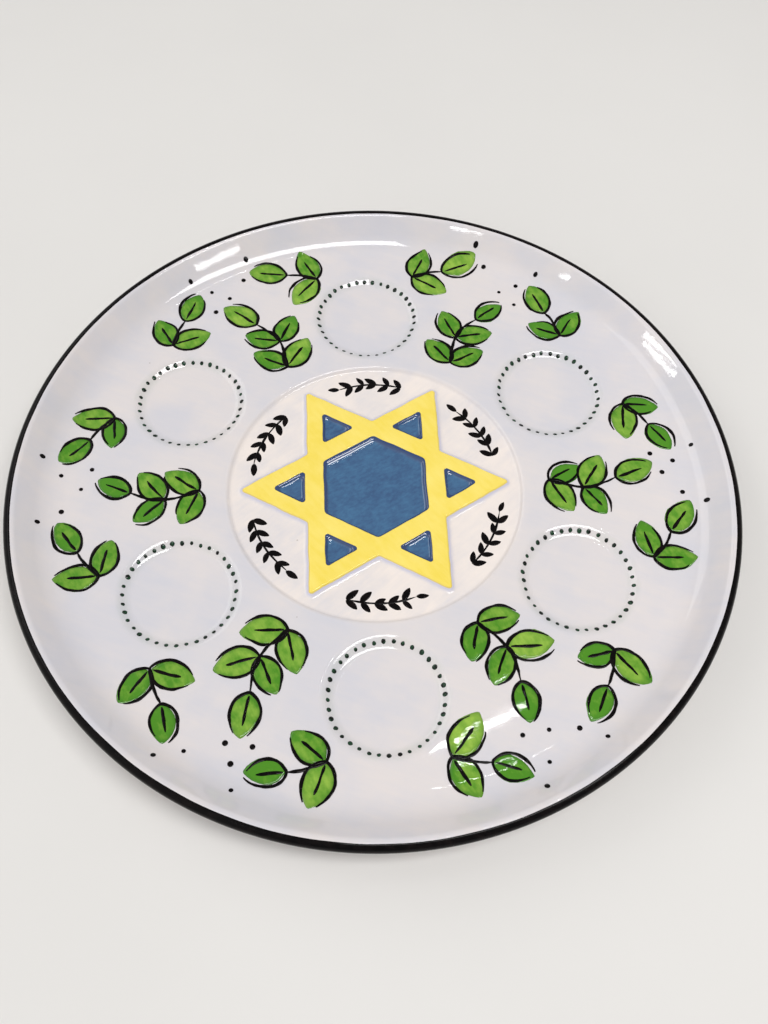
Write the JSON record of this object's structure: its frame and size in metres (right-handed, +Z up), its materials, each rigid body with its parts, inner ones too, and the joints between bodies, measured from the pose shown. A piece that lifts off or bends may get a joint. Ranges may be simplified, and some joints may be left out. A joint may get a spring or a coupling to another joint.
{
  "type": "seder plate",
  "caption": "Round glazed ceramic plate for ritual foods, with an upturned rim, a ring of shallow wells, a raised hexagram star in a centre recess and a foot ring to stand on.",
  "frame": {"origin": "on the table under the middle of the foot ring", "axes": "+Z up out of the plate's floor, +X through one point of the star"},
  "size_m": [0.305, 0.305, 0.023],
  "materials": {
    "white_glaze": "glossy clear glaze over a white wash",
    "yellow_glaze": "glossy brushed yellow",
    "blue_glaze": "glossy brushed blue",
    "black_glaze": "glossy black",
    "dot_glaze": "glossy blackish green",
    "green_glaze": "glossy brushed leaf green, for painted ornament"
  },
  "bodies": {
    "root": {"plate_body": "white_glaze", "star_relief": "yellow_glaze", "rim_band": "black_glaze", "hexagon_panel": "blue_glaze", "triangle_panel_1": "blue_glaze", "triangle_panel_2": "blue_glaze", "triangle_panel_3": "blue_glaze", "triangle_panel_4": "blue_glaze", "triangle_panel_5": "blue_glaze", "triangle_panel_6": "blue_glaze", "well_dots_1": "dot_glaze", "well_dots_2": "dot_glaze", "well_dots_3": "dot_glaze", "well_dots_4": "dot_glaze", "well_dots_5": "dot_glaze", "well_dots_6": "dot_glaze"}
  },
  "joints": []
}
